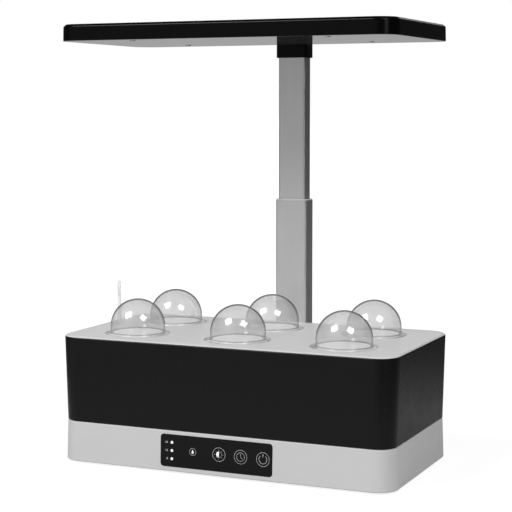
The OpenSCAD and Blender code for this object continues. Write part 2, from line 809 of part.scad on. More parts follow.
// Glide on the foot of the upper mast, running inside the lower mast
module mast_glide() {
    color("gray") translate([0, mast_y, 0]) difference() {
        bar(sleeve_in_w - 2 * slide_fit, sleeve_in_d - 2 * slide_fit, mast_r - sleeve_wall,
            pole_bottom - glide_floor, pole_bottom + glide_h);
        bar(pole_w, pole_d, mast_r, pole_bottom, pole_bottom + glide_h + 1);
        post(lead_r + 1.4, pole_bottom - glide_floor - 1, pole_bottom + 1);
    }
}

// Lead inside the mast, which takes up the travel
module mast_lead() {
    color("black") translate([0, mast_y, 0]) post(lead_r, lead_z + 4, lamp_lead_z - 4);
}

// Neck: cap on the upper mast, with a tongue that reaches through the back of the shade
module lamp_neck() {
    front = mast_y - neck_d / 2;
    color("black") difference() {
        union() {
            translate([0, mast_y, 0]) bar(neck_w, neck_d, mast_r + 0.4, neck_bottom, neck_top);
            translate([-tongue_w / 2, lamp_back - lamp_wall - tongue_in, tongue_z])
                cube([tongue_w, front + 1 - lamp_back + lamp_wall + tongue_in, tongue_t - 0.05]);
        }
        translate([0, mast_y, 0]) bar(pole_w, pole_d, mast_r, neck_bottom - 1, pole_top);
        // Way for the lead
        translate([0, mast_y, 0]) post(lead_r + 0.8, pole_top - 1, lamp_lead_z + lead_r + 0.2);
        translate([0, lamp_back - lamp_wall - tongue_in - 1, lamp_lead_z]) rotate([-90, 0, 0])
            cylinder(h = mast_y - lamp_back + lamp_wall + tongue_in + 3, r = lead_r + 0.3);
        for (x = [-1, 1]) translate([x * 8, lamp_back - lamp_wall - tongue_in + 8, tongue_z - 1])
            cylinder(h = tongue_t + 2, r = screw_r + 0.1);
    }
}

// Two screws that hold the tongue to the roof of the shade
module neck_screws() {
    color("silver") for (x = [-1, 1]) translate([x * 8, lamp_back - lamp_wall - tongue_in + 8, 0])
        post(screw_r, tongue_z, shade_roof + 1.4);
}

// Shade: shallow tray, open below, with a drafted side and a sloping edge on top
module lamp_shade() {
    slot_low = tongue_z - 0.1;
    color("black") difference() {
        union() {
            translate([0, lamp_y, 0]) difference() {
                drafted(lamp_w, lamp_d, lamp_r,
                    [[lamp_z, 0.3], [lamp_z + 0.3, 0], [lamp_z + lamp_side, 0.3], [shade_top, lamp_bevel]]);
                drafted(lamp_w, lamp_d, lamp_r,
                    [[lamp_z - 1, lamp_wall], [shade_roof, lamp_wall + 0.3]]);
            }
            plate_screw_places() {
                post(6, led_board_top, shade_roof + 1);
                post(3.4, plate_top, shade_roof + 1);
            }
        }
        plate_screw_places() post(screw_hole_r, plate_top - 1, shade_roof - 1);
        translate([-tongue_w / 2 - 0.1, lamp_back - 6, slot_low])
            cube([tongue_w + 0.2, 8, shade_roof - slot_low]);
        for (x = [-1, 1]) translate([x * 8, lamp_back - lamp_wall - tongue_in + 8, 0])
            post(screw_r + 0.05, shade_roof - 1, shade_roof + 1.4);
    }
}

module plate_screw_places() {
    translate([0, plate_screw_y, 0]) four(lamp_w / 2 - screw_side, lamp_d / 2 - screw_edge) children();
}

// Glossy plate that closes the shade from below, flush with its rim
module lamp_plate() {
    color("darkgray") difference() {
        translate([0, lamp_y, 0]) drafted(lamp_w, lamp_d, lamp_r,
            [[lamp_z, lamp_wall + part_gap], [plate_top, lamp_wall + part_gap]]);
        plate_screw_places() post(screw_hole_r + 0.2, lamp_z - 1, plate_top + 1);
    }
}

// Four low pan-head screws that hold the plate to the shade's bosses
module plate_screws() {
    color("dimgray") plate_screw_places() {
        post(plate_head_r, lamp_z - plate_head_h, lamp_z);
        post(screw_r, lamp_z - eps, plate_top + 5);
    }
}

// Board that carries the LEDs, seated on the shade's stepped bosses
module led_board() {
    color("white") difference() {
        translate([0, lamp_y, 0]) bar(led_board_w, led_board_d, 4, led_board_z, led_board_top);
        plate_screw_places() post(3.6, led_board_z - 1, led_board_top + 1);
    }
}

module led_chips() {
    pitch_x = (led_board_w - 2 * led_edge) / (led_cols - 1);
    pitch_y = (led_board_d - 2 * led_edge) / (led_rows - 1);
    color("khaki") translate([0, lamp_y, led_board_z - led_t])
        for (i = [0:led_cols - 1], j = [0:led_rows - 1])
            translate([(i - (led_cols - 1) / 2) * pitch_x, (j - (led_rows - 1) / 2) * pitch_y, 0])
                linear_extrude(led_t) square(led_side, center = true);
}

// Lead from the mast through the tongue to the LED board
module lamp_lead() {
    stop = lamp_back - lamp_wall - tongue_in - 3 * lead_r;
    color("black") {
        translate([0, mast_y, lamp_lead_z - 4]) cylinder(h = 4, r = lead_r);
        translate([0, mast_y, lamp_lead_z]) sphere(lead_r);
        translate([0, stop, lamp_lead_z]) rotate([-90, 0, 0]) cylinder(h = mast_y - stop, r = lead_r);
    }
}

placed() base_case();
placed() base_cover();
placed() rubber_feet();
placed() cover_screws();
placed() control_overlay();
placed() level_lights();
placed() touch_board();
placed() main_board();
placed() dc_inlet();
placed() contact_socket();
placed() base_lead();
placed() lower_mast();
placed() mast_bush();
placed() mast_screws();
placed() water_tank();
placed() pump_body();
placed() pump_filter();
placed() pump_outlet();
placed() pump_cups();
placed() pump_lead();
placed() contact_plug();
placed() deck();
placed() gauge_rod();
placed() float_block();
for (i = [0:5]) {
    placed() basket(pods[i]);
    placed() sponge(pods[i]);
    placed() pod_cap(pods[i]);
    placed() dome(pods[i]);
}
placed() upper_mast();
placed() mast_glide();
placed() mast_lead();
placed() lamp_neck();
placed() neck_screws();
placed() lamp_shade();
placed() lamp_plate();
placed() plate_screws();
placed() led_board();
placed() led_chips();
placed() lamp_lead();
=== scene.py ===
# Countertop hydroponic garden, put together from the feet up. Metres, +Z up, front towards -Y.
import math

import bmesh
import bpy
from mathutils import Matrix, Vector


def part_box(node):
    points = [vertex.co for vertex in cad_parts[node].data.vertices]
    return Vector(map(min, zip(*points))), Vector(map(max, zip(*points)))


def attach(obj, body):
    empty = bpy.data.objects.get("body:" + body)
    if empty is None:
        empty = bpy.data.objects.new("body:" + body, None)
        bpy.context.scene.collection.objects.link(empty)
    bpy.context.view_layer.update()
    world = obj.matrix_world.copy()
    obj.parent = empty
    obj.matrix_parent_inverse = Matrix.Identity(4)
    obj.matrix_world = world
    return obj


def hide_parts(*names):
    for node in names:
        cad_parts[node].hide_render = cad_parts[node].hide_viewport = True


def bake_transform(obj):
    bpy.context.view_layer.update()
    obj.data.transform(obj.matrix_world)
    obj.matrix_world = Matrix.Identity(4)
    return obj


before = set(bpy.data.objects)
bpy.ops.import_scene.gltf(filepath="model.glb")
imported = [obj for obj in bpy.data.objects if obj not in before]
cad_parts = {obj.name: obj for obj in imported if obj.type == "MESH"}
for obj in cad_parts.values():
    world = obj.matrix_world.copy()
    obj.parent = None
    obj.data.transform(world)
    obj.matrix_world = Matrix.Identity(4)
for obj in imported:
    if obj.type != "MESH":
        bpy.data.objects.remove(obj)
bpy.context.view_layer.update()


# ---- Base housing
# One light-grey ABS moulding, open below, with leaning sides, a raised pad for the tank and a heel
# behind for the mast. Its skin is a fine satin, a little uneven where the mould's steel was polished.

same_height, near_outline = 1e-5, 1e-4
weld_reach, flat_within = 2e-6, math.radians(0.4)
seam_inset, seam_chamfer = 0.0018, 0.0009
tank_low, tank_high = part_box("water_tank")
tank_corner = 0.0175


def middle_of(node):
    """The middle of a planned node's box."""
    low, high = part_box(node)
    return (low + high) / 2


def whole_faces(node):
    """A copy of a planned solid with its loose triangles joined into whole faces."""
    solid = bmesh.new()
    solid.from_mesh(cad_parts[node].data)
    bmesh.ops.remove_doubles(solid, verts=solid.verts, dist=weld_reach)
    bmesh.ops.dissolve_limit(solid, angle_limit=flat_within, verts=solid.verts, edges=solid.edges)
    return solid


def settled(piece):
    """The piece with what its modifiers make kept as its plain mesh."""
    view = bpy.context.evaluated_depsgraph_get()
    made = bpy.data.meshes.new_from_object(piece.evaluated_get(view), depsgraph=view)
    piece.modifiers.clear()
    piece.data = made
    return piece


def piece_from(solid, name, finish):
    """An object in the scene with this bmesh and this material."""
    mesh = bpy.data.meshes.new(name)
    solid.to_mesh(mesh)
    solid.free()
    mesh.shade_smooth()
    mesh.materials.append(finish)
    piece = bpy.data.objects.new(name, mesh)
    bpy.context.scene.collection.objects.link(piece)
    return piece


def eased(piece, radius, steps=2, corner=32):
    """Rounds the edges sharper than the corner, as a mould or a deburring wheel leaves them."""
    ease = piece.modifiers.new("eased edges", "BEVEL")
    ease.width = radius
    ease.segments = steps
    ease.limit_method = "ANGLE"
    ease.angle_limit = math.radians(corner)
    ease.harden_normals = True
    level = piece.modifiers.new("flat faces stay flat", "WEIGHTED_NORMAL")
    level.weight = 100
    level.keep_sharp = True
    return settled(piece)


def made_from(node, name, finish, radius, steps=2, corner=32):
    """A planned solid as a finished piece with eased edges."""
    return eased(piece_from(whole_faces(node), name, finish), radius, steps, corner)


def fitted(piece, body, slot, *nodes):
    """Puts the piece in its planned nodes' place on their body."""
    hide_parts(*nodes)
    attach(piece, body)
    return piece


def linked(tree, kind, feeds=(), **settings):
    """A node with these settings, its inputs fed by other nodes or set."""
    node = tree.nodes.new(kind)
    for name, value in settings.items():
        setattr(node, name, value)
    for socket, feed in feeds:
        if isinstance(feed, bpy.types.NodeSocket):
            tree.links.new(feed, node.inputs[socket])
        else:
            node.inputs[socket].default_value = feed
    return node


def new_finish(name):
    """A material's shader tree, its shader, and the piece's own coordinates."""
    finish = bpy.data.materials.new(name)
    finish.use_nodes = True
    tree = finish.node_tree
    place = tree.nodes.new("ShaderNodeTexCoord").outputs["Object"]
    return finish, tree, tree.nodes["Principled BSDF"], place


def speckle(tree, place, scale, detail=3.0, stretch=(1, 1, 1)):
    """Soft cloudy variation over the piece, from 0 to 1."""
    turn = linked(tree, "ShaderNodeMapping", [("Vector", place), ("Scale", stretch)])
    cloud = linked(tree, "ShaderNodeTexNoise", [
        ("Vector", turn.outputs["Vector"]), ("Scale", scale), ("Detail", detail),
    ])
    return cloud.outputs["Fac"]


def between(tree, amount, low, high, start=0.3, stop=0.7, **settings):
    """A level that goes from low to high as the amount goes from start to stop."""
    spread = linked(tree, "ShaderNodeMapRange", [
        ("Value", amount), ("From Min", start), ("From Max", stop), ("To Min", low), ("To Max", high),
    ], **settings)
    return spread.outputs["Result"]


def two_tone(tree, amount, first, second):
    """A colour that goes from the first to the second. The first may come from another node."""
    start = first if isinstance(first, bpy.types.NodeSocket) else (*first, 1)
    mix = linked(tree, "ShaderNodeMix", [
        ("Factor", amount), ("A", start), ("B", (*second, 1)),
    ], data_type="RGBA")
    return mix.outputs["Result"]


def grained(tree, shader, amount, depth, strength=0.4):
    """Fine relief on the surface, this many metres deep."""
    relief = linked(tree, "ShaderNodeBump", [
        ("Height", amount), ("Distance", depth), ("Strength", strength),
    ])
    tree.links.new(relief.outputs["Normal"], shader.inputs["Normal"])


def moulded(name, colour, roughness, change=0.03, grain=900, depth=0.00002, sheen=0.5):
    """Moulded plastic: faint flow marks in its colour, uneven gloss and a fine grain."""
    finish, tree, shader, place = new_finish(name)
    flow = speckle(tree, place, 11, 4.0, (1, 1, 2.2))
    darker = tuple(c * (1 - change) for c in colour)
    lighter = tuple(min(1, c * (1 + change)) for c in colour)
    tree.links.new(two_tone(tree, flow, darker, lighter), shader.inputs["Base Color"])
    gloss = between(tree, speckle(tree, place, 55, 2.0), roughness * 0.9, roughness * 1.1)
    tree.links.new(gloss, shader.inputs["Roughness"])
    shader.inputs["Specular IOR Level"].default_value = sheen
    grained(tree, shader, speckle(tree, place, grain, 2.0), depth)
    return finish


def rim_drawn_in(solid, height, inset, draw):
    """Draws in an edge of the outline, at this height and this far inside the tank's rim."""
    middle = middle_of("water_tank")
    core_x = (tank_high.x - tank_low.x) / 2 - tank_corner
    core_y = (tank_high.y - tank_low.y) / 2 - tank_corner
    for vertex in solid.verts:
        if abs(vertex.co.z - height) > same_height:
            continue
        place = Vector((vertex.co.x, vertex.co.y - middle.y))
        core = Vector((max(-core_x, min(core_x, place.x)), max(-core_y, min(core_y, place.y))))
        if abs((place - core).length - (tank_corner - inset)) < near_outline:
            out_from = (place - core).normalized()
            vertex.co.x -= out_from.x * draw
            vertex.co.y -= out_from.y * draw


base_grey = moulded("satin light grey abs", (0.69, 0.69, 0.69), roughness=0.55, sheen=0.2)
base_solid = whole_faces("base_case")
bmesh.ops.bisect_plane(
    base_solid, geom=base_solid.verts[:] + base_solid.edges[:] + base_solid.faces[:],
    plane_co=(0, 0, tank_low.z - seam_chamfer), plane_no=(0, 0, 1),
)
rim_drawn_in(base_solid, tank_low.z, seam_inset, seam_chamfer)
housing = eased(piece_from(base_solid, "base_housing", base_grey), 0.0004)
fitted(housing, "base", "base_grey", "base_case")

bottom_cover = made_from("base_cover", "bottom_cover", base_grey, 0.0003)
fitted(bottom_cover, "base", "base_grey", "base_cover")


# ---- Feet
# Four round black rubber pads, one near each corner. They are hollowed a little below so that they
# grip, and pressed into the cover.

def turned(rings, centre, around=64):
    """A closed turned shape. Each ring is (radius, height) in mm, from the top; radius 0 is a pole."""
    solid = bmesh.new()
    rows = []
    for radius, height in rings:
        if radius == 0:
            rows.append([solid.verts.new((centre[0], centre[1], height / 1000))])
            continue
        row = []
        for k in range(around):
            turn = 2 * math.pi * k / around
            row.append(solid.verts.new((
                centre[0] + radius / 1000 * math.cos(turn),
                centre[1] + radius / 1000 * math.sin(turn),
                height / 1000,
            )))
        rows.append(row)
    loops = list(zip(rows, rows[1:]))
    if len(rows[0]) > 1:
        loops.append((rows[-1], rows[0]))
    for upper, lower in loops:
        for k in range(around):
            after = (k + 1) % around
            if len(upper) == 1:
                solid.faces.new((upper[0], lower[k], lower[after]))
            elif len(lower) == 1:
                solid.faces.new((upper[k], lower[0], upper[after]))
            else:
                solid.faces.new((upper[k], lower[k], lower[after], upper[after]))
    bmesh.ops.recalc_face_normals(solid, faces=solid.faces)
    return solid


def rubber(name, colour, roughness):
    """Rubber: dull, dusty in random patches, with a soft uneven skin."""
    finish, tree, shader, place = new_finish(name)
    dust = speckle(tree, place, 120, 5.0)
    dusty = tuple(c * 1.5 + 0.01 for c in colour)
    tree.links.new(two_tone(tree, dust, colour, dusty), shader.inputs["Base Color"])
    tree.links.new(between(tree, dust, roughness - 0.08, roughness + 0.1), shader.inputs["Roughness"])
    grained(tree, shader, speckle(tree, place, 700, 3.0), 0.00004, 0.6)
    return finish


def joined(parts, name, finish):
    """One piece from several bmeshes."""
    whole = bmesh.new()
    for part in parts:
        spare = bpy.data.meshes.new("part")
        part.to_mesh(spare)
        part.free()
        whole.from_mesh(spare)
        bpy.data.meshes.remove(spare)
    return piece_from(whole, name, finish)


foot_black = rubber("foot rubber", (0.028, 0.028, 0.028), 0.8)
foot_low, foot_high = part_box("rubber_feet")
foot_radius, hollow_radius, foot_top = 9.0, 6.0, 2.7
foot_rings = [
    (0, foot_top), (foot_radius - 0.4, foot_top), (foot_radius, foot_top - 0.3), (foot_radius, 0.8),
    (foot_radius - 0.2, 0.3), (foot_radius - 0.6, 0.0), (hollow_radius + 0.3, 0.0),
    (hollow_radius, 0.15), (hollow_radius - 0.2, 0.5), (0, 0.55),
]
foot_places = [
    (x, y)
    for x in (foot_low.x + foot_radius / 1000, foot_high.x - foot_radius / 1000)
    for y in (foot_low.y + foot_radius / 1000, foot_high.y - foot_radius / 1000)
]
feet = joined([turned(foot_rings, place, 40) for place in foot_places], "grip_feet", foot_black)
fitted(feet, "base", "foot_rubber", "rubber_feet")


# ---- Screws of the cover and the mast
# Steel pan-head screws with a cross recess, turned and rolled, bright zinc-plated. Six hold the
# cover below and four hold the mast from behind.

head_radius, head_height, mast_head_height = 0.0029, 0.0011, 0.0014
crown_from, crown_draw = 0.2, 0.88
slot_length, slot_width = 1.15, 0.24
shank_slack = 0.0001
middle_screw_x = -0.036
head_down, head_back = (math.pi, 0, 0), (-math.pi / 2, 0, 0)


def worked_out(tree, operation, first, second):
    """The result of a sum on two amounts."""
    return linked(tree, "ShaderNodeMath", [(0, first), (1, second)], operation=operation).outputs[0]


def new_rule(name, sizes):
    """A Geometry Nodes tree with these named inputs, as (name, kind, size)."""
    tree = bpy.data.node_groups.new(name, "GeometryNodeTree")
    tree.interface.new_socket("Geometry", in_out="INPUT", socket_type="NodeSocketGeometry")
    for label, kind, size in sizes:
        socket = tree.interface.new_socket(label, in_out="INPUT", socket_type=kind)
        if size is not None:
            socket.default_value = size
    tree.interface.new_socket("Geometry", in_out="OUTPUT", socket_type="NodeSocketGeometry")
    return tree, tree.nodes.new("NodeGroupInput").outputs, tree.nodes.new("NodeGroupOutput").inputs[0]


def by_rule(name, tree, points, finish, sizes):
    """A piece that the tree makes on these points, kept as a plain mesh."""
    start = bpy.data.meshes.new(name)
    start.from_pydata([tuple(p) for p in points], [], [])
    piece = bpy.data.objects.new(name, start)
    bpy.context.scene.collection.objects.link(piece)
    rule = piece.modifiers.new("rule", "NODES")
    rule.node_group = tree
    sockets = {s.name: s.identifier for s in tree.interface.items_tree if s.in_out == "INPUT"}
    for label, size in [*sizes.items(), ("Finish", finish)]:
        rule[sockets[label]] = size
    return settled(piece)


screw_rule, given, out = new_rule("cross head screws", [
    ("Head radius", "NodeSocketFloat", head_radius), ("Head height", "NodeSocketFloat", head_height),
    ("Shank radius", "NodeSocketFloat", 0.00125), ("Shank length", "NodeSocketFloat", 0.01),
    ("Turn", "NodeSocketRotation", None), ("Finish", "NodeSocketMaterial", None),
])
head = linked(screw_rule, "GeometryNodeMeshCylinder", [
    ("Vertices", 28), ("Side Segments", 2), ("Radius", given["Head radius"]), ("Depth", given["Head height"]),
])
spot = linked(screw_rule, "GeometryNodeInputPosition").outputs["Position"]
spot_up = linked(screw_rule, "ShaderNodeSeparateXYZ", [("Vector", spot)]).outputs["Z"]
crown_low = worked_out(screw_rule, "MULTIPLY", given["Head height"], crown_from)
at_crown = linked(
    screw_rule, "FunctionNodeCompare", [(0, spot_up), (1, crown_low)], operation="GREATER_THAN"
)
drawn_in = linked(
    screw_rule, "ShaderNodeVectorMath", [(0, spot), (1, (crown_draw, crown_draw, 1))], operation="MULTIPLY"
)
crowned = linked(screw_rule, "GeometryNodeSetPosition", [
    ("Geometry", head.outputs["Mesh"]), ("Selection", at_crown.outputs[0]), ("Position", drawn_in.outputs[0]),
])
half_up = worked_out(screw_rule, "MULTIPLY", given["Head height"], 0.5)
slot_wide = worked_out(screw_rule, "MULTIPLY", given["Head radius"], slot_length)
slot_thin = worked_out(screw_rule, "MULTIPLY", given["Head radius"], slot_width)
cross_bars = []
for wide, thin in ((slot_wide, slot_thin), (slot_thin, slot_wide)):
    size = linked(screw_rule, "ShaderNodeCombineXYZ", [("X", wide), ("Y", thin), ("Z", given["Head height"])])
    bar = linked(screw_rule, "GeometryNodeMeshCube", [("Size", size.outputs[0])])
    up = linked(screw_rule, "ShaderNodeCombineXYZ", [("Z", half_up)])
    cross_bars.append(linked(screw_rule, "GeometryNodeTransform", [
        ("Geometry", bar.outputs["Mesh"]), ("Translation", up.outputs[0]),
    ]))
recessed = linked(screw_rule, "GeometryNodeMeshBoolean", operation="DIFFERENCE")
screw_rule.links.new(crowned.outputs[0], recessed.inputs["Mesh 1"])
for bar in cross_bars:
    screw_rule.links.new(bar.outputs[0], recessed.inputs["Mesh 2"])
shank = linked(screw_rule, "GeometryNodeMeshCylinder", [
    ("Vertices", 20), ("Radius", given["Shank radius"]), ("Depth", given["Shank length"]),
])
reach = worked_out(screw_rule, "ADD", given["Shank length"], given["Head height"])
# A hair under half, so that the shank starts inside the head.
drop = worked_out(screw_rule, "MULTIPLY", reach, -0.499)
down = linked(screw_rule, "ShaderNodeCombineXYZ", [("Z", drop)])
shank_below = linked(screw_rule, "GeometryNodeTransform", [
    ("Geometry", shank.outputs["Mesh"]), ("Translation", down.outputs[0]),
])
one_screw = linked(screw_rule, "GeometryNodeJoinGeometry")
screw_rule.links.new(recessed.outputs["Mesh"], one_screw.inputs[0])
screw_rule.links.new(shank_below.outputs[0], one_screw.inputs[0])
spots = linked(screw_rule, "GeometryNodeInstanceOnPoints", [
    ("Points", given["Geometry"]), ("Instance", one_screw.outputs[0]), ("Rotation", given["Turn"]),
])
solid_screws = linked(screw_rule, "GeometryNodeRealizeInstances", [("Geometry", spots.outputs["Instances"])])
plated = linked(screw_rule, "GeometryNodeSetMaterial", [
    ("Geometry", solid_screws.outputs[0]), ("Material", given["Finish"]),
])
screw_rule.links.new(plated.outputs[0], out)


def bare_metal(name, colour, roughness, lines, stretch=(1, 1, 1)):
    """Worked metal: fine lines along the way that it was drawn or turned."""
    finish, tree, shader, place = new_finish(name)
    streak = speckle(tree, place, lines, 4.0, stretch)
    dull, bright = (tuple(c * share for c in colour) for share in (0.94, 1.04))
    tree.links.new(two_tone(tree, streak, dull, bright), shader.inputs["Base Color"])
    tree.links.new(between(tree, streak, roughness * 0.85, roughness * 1.2), shader.inputs["Roughness"])
    shader.inputs["Metallic"].default_value = 1.0
    grained(tree, shader, streak, 0.000006, 0.3)
    return finish


screw_zinc = bare_metal("zinc plated steel", (0.62, 0.62, 0.63), roughness=0.32, lines=420)
cover_low, cover_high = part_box("cover_screws")
cover_spots = [
    Vector((x, y, cover_low.z + head_height / 2))
    for x in (cover_low.x + head_radius, middle_screw_x, cover_high.x - head_radius)
    for y in (cover_low.y + head_radius, cover_high.y - head_radius)
]
cover_bolts = by_rule("cover_fixings", screw_rule, cover_spots, screw_zinc, {
    "Turn": head_down, "Shank length": cover_high.z - cover_low.z - head_height - shank_slack,
})
fitted(cover_bolts, "base", "screw_steel", "cover_screws")

mast_low, mast_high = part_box("mast_screws")
mast_spots = [
    Vector((x, mast_high.y - mast_head_height / 2, z))
    for x in (mast_low.x + head_radius, mast_high.x - head_radius)
    for z in (mast_low.z + head_radius, mast_high.z - head_radius)
]
mast_bolts = by_rule("mast_fixings", screw_rule, mast_spots, screw_zinc, {
    "Turn": head_back, "Head height": mast_head_height, "Shank radius": 0.0012,
    "Shank length": mast_high.y - mast_low.y - mast_head_height - shank_slack,
})
fitted(mast_bolts, "base", "screw_steel", "mast_screws")


# ---- Touch panel
# A gloss black moulded window let into the leaning front and screen-printed in white. Three lit level
# marks stand in it near its left end. It senses a finger, so nothing on it travels.

# The front leans in from the foot's inset to the seam's over this height.
foot_inset, side_height = 0.0006, 0.0336
ink_back = 0.0002
ink_low, ink_high = ink_back - 0.00001, ink_back + 0.00003

panel_black = moulded(
    "gloss black window", (0.0045, 0.0045, 0.0047),
    roughness=0.2, change=0.06, grain=400, depth=0.000004, sheen=0.25,
)
window = made_from("control_overlay", "panel_window", panel_black, 0.00015)
fitted(window, "base", "panel_gloss", "control_overlay")

lamp_glow, glow_tree, glow_shader, glow_place = new_finish("lit level mark")
glow_cloud = speckle(glow_tree, glow_place, 300, 2.0)
glow_colour = two_tone(glow_tree, glow_cloud, (0.8, 0.8, 0.8), (0.88, 0.88, 0.88))
glow_tree.links.new(glow_colour, glow_shader.inputs["Base Color"])
glow_shader.inputs["Emission Color"].default_value = (1, 1, 1, 1)
glow_shader.inputs["Emission Strength"].default_value = 0.40
marks_lit = made_from("level_lights", "level_marks", lamp_glow, 0.0002)
fitted(marks_lit, "base", "light_white", "level_lights")

print_white = moulded(
    "white screen print", (0.80, 0.80, 0.80),
    roughness=0.5, change=0.05, grain=1500, depth=0.000003, sheen=0.3,
)
face_lean = math.atan((seam_inset - foot_inset) / side_height)
panel_low, panel_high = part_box("control_overlay")
panel_centre = middle_of("control_overlay")
panel_front_y = panel_low.y + (panel_high.z - panel_low.z) / 2 * math.tan(face_lean) + ink_back
panel_front = (
    Matrix.Translation((panel_centre.x, panel_front_y, panel_centre.z))
    @ Matrix.Rotation(math.pi / 2 - face_lean, 4, "X")
)


def printed(outline_points, hole_points=None):
    """A thin printed shape on the window from its outline, in mm across and up the face."""
    shape = bmesh.new()
    rims = [outline_points] + ([hole_points] if hole_points else [])
    low_loops, high_loops = [], []
    for rim in rims:
        low_loops.append([shape.verts.new((x / 1000, y / 1000, ink_low)) for x, y in rim])
        high_loops.append([shape.verts.new((x / 1000, y / 1000, ink_high)) for x, y in rim])
    if hole_points:
        for outer, inner in (low_loops, high_loops):
            for k in range(len(outer)):
                after = (k + 1) % len(outer)
                shape.faces.new((outer[k], outer[after], inner[after], inner[k]))
    else:
        shape.faces.new(low_loops[0])
        shape.faces.new(high_loops[0])
    for low, high in zip(low_loops, high_loops):
        for k in range(len(low)):
            after = (k + 1) % len(low)
            shape.faces.new((low[k], low[after], high[after], high[k]))
    bmesh.ops.recalc_face_normals(shape, faces=shape.faces)
    bmesh.ops.transform(shape, matrix=panel_front, verts=shape.verts)
    return shape


def arc(x, y, radius, start, stop, count):
    """Points on a circle, in mm, between two angles in degrees."""
    turns = [math.radians(start + (stop - start) * k / count) for k in range(count + 1)]
    return [(x + radius * math.cos(t), y + radius * math.sin(t)) for t in turns]


def ring(x, y, radius, line, count=48):
    """A printed ring."""
    return printed(
        arc(x, y, radius + line / 2, 0, 360, count)[:-1], arc(x, y, radius - line / 2, 0, 360, count)[:-1]
    )


def stroke(x0, y0, x1, y1, line):
    """A printed straight stroke."""
    run = math.hypot(x1 - x0, y1 - y0)
    a, b = -(y1 - y0) / run * line / 2, (x1 - x0) / run * line / 2
    return printed([(x0 + a, y0 + b), (x0 - a, y0 - b), (x1 - a, y1 - b), (x1 + a, y1 + b)])


line, key_ring, water_ring = 0.21, 5.65, 2.95
water_x, water_y = -20.8, 0.6
drop_side = [(0.0, 1.75), (0.42, 0.95), (0.88, 0.1), (1.05, -0.55), (0.92, -1.1), (0.55, -1.5), (0.0, -1.65)]
drop_points = [(water_x + a, water_y + b) for a, b in drop_side]
drop_points += [(water_x - a, water_y + b) for a, b in drop_side[-2:0:-1]]
water_marks = [ring(water_x, water_y, water_ring, line)]
lit_marks = [printed(drop_points)]

sun_x, sun_y, sun_radius, ray_from, ray_to = 3.0, 0.6, 2.45, 3.1, 3.9
lit_marks.append(printed(arc(sun_x, sun_y, sun_radius, 90, 270, 16)))
sun_marks = [
    ring(sun_x, sun_y, key_ring, line),
    printed(arc(sun_x, sun_y, sun_radius, -90, 90, 16) + arc(sun_x, sun_y, sun_radius - 0.15, 90, -90, 16)),
]
for k in range(8):
    turn = math.radians(45 * k)
    sun_marks.append(stroke(
        sun_x + ray_from * math.cos(turn), sun_y + ray_from * math.sin(turn),
        sun_x + ray_to * math.cos(turn), sun_y + ray_to * math.sin(turn), line,
    ))

clock_x, clock_y, dial_radius = 22.4, 0.4, 3.5
clock_marks = [
    ring(clock_x, clock_y, key_ring, line), ring(clock_x, clock_y, dial_radius, line),
    stroke(clock_x, clock_y + 2.5, clock_x, clock_y - 0.35, line),
    stroke(clock_x, clock_y - 0.2, clock_x + 1.8, clock_y - 1.6, line),
]

power_x, power_y, bow_outer, bow_inner = 42.2, 0.2, 3.65, 3.35
power_marks = [
    ring(power_x, power_y, key_ring, line),
    printed(
        arc(power_x, power_y, bow_outer, 126, 414, 40) + arc(power_x, power_y, bow_inner, 414, 126, 40)
    ),
    stroke(power_x, power_y + 4.2, power_x, power_y + 1.6, 0.34),
]
lit_print = joined(lit_marks, "lit_symbols", lamp_glow)
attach(lit_print, "base")
panel_print = joined(water_marks + sun_marks + clock_marks + power_marks, "panel_print", print_white)
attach(panel_print, "base")

hours_x, mark_pitch = -0.0436, 0.00685
for label, row in (("16", 1), ("12", 0), ("8", -1)):
    words = bpy.data.curves.new(f"hours_{label}", "FONT")
    words.body = label
    words.size = 0.0026
    words.align_x = "RIGHT"
    words.align_y = "CENTER"
    words.extrude = (ink_high - ink_low) / 2
    lettered = bpy.data.objects.new(f"hours_{label}", words)
    bpy.context.scene.collection.objects.link(lettered)
    shape = bpy.data.meshes.new_from_object(lettered.evaluated_get(bpy.context.evaluated_depsgraph_get()))
    bpy.data.objects.remove(lettered)
    place = Matrix.Translation((hours_x, row * mark_pitch, (ink_low + ink_high) / 2))
    shape.transform(panel_front @ place)
    shape.materials.clear()
    shape.materials.append(print_white)
    number = bpy.data.objects.new(f"hours_{label}", shape)
    bpy.context.scene.collection.objects.link(number)
    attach(number, "base")


# ---- Boards in the base
# Green glass-epoxy boards with traces under the solder mask: the touch board behind the window and
# the main board on four posts.

def circuit(name, mask, trace, pitch, trace_width=0.06):
    """A circuit board: traces at right angles showing through the solder mask."""
    finish, tree, shader, place = new_finish(name)
    steps = linked(
        tree, "ShaderNodeTexVoronoi", [("Vector", place), ("Scale", pitch)],
        distance="CHEBYCHEV", feature="DISTANCE_TO_EDGE",
    )
    traces = worked_out(tree, "LESS_THAN", steps.outputs["Distance"], trace_width)
    tree.links.new(two_tone(tree, traces, mask, trace), shader.inputs["Base Color"])
    tree.links.new(between(tree, speckle(tree, place, 90), 0.3, 0.42), shader.inputs["Roughness"])
    grained(tree, shader, traces, 0.00003, 0.5)
    return finish


board_green = circuit("green solder mask", (0.012, 0.10, 0.04), (0.03, 0.20, 0.08), 260)
touch_sheet = made_from("touch_board", "touch_sensor_board", board_green, 0.0001, 1)
fitted(touch_sheet, "base", "board_green", "touch_board")
control_sheet = made_from("main_board", "control_board", board_green, 0.0002, 1)
fitted(control_sheet, "base", "board_green", "main_board")


# ---- Inlet, contact socket and lead
# Black nylon fittings: a round inlet held in the back face, the sprung socket under the tank, and a
# rubber-sheathed lead that runs into the foot of the mast.

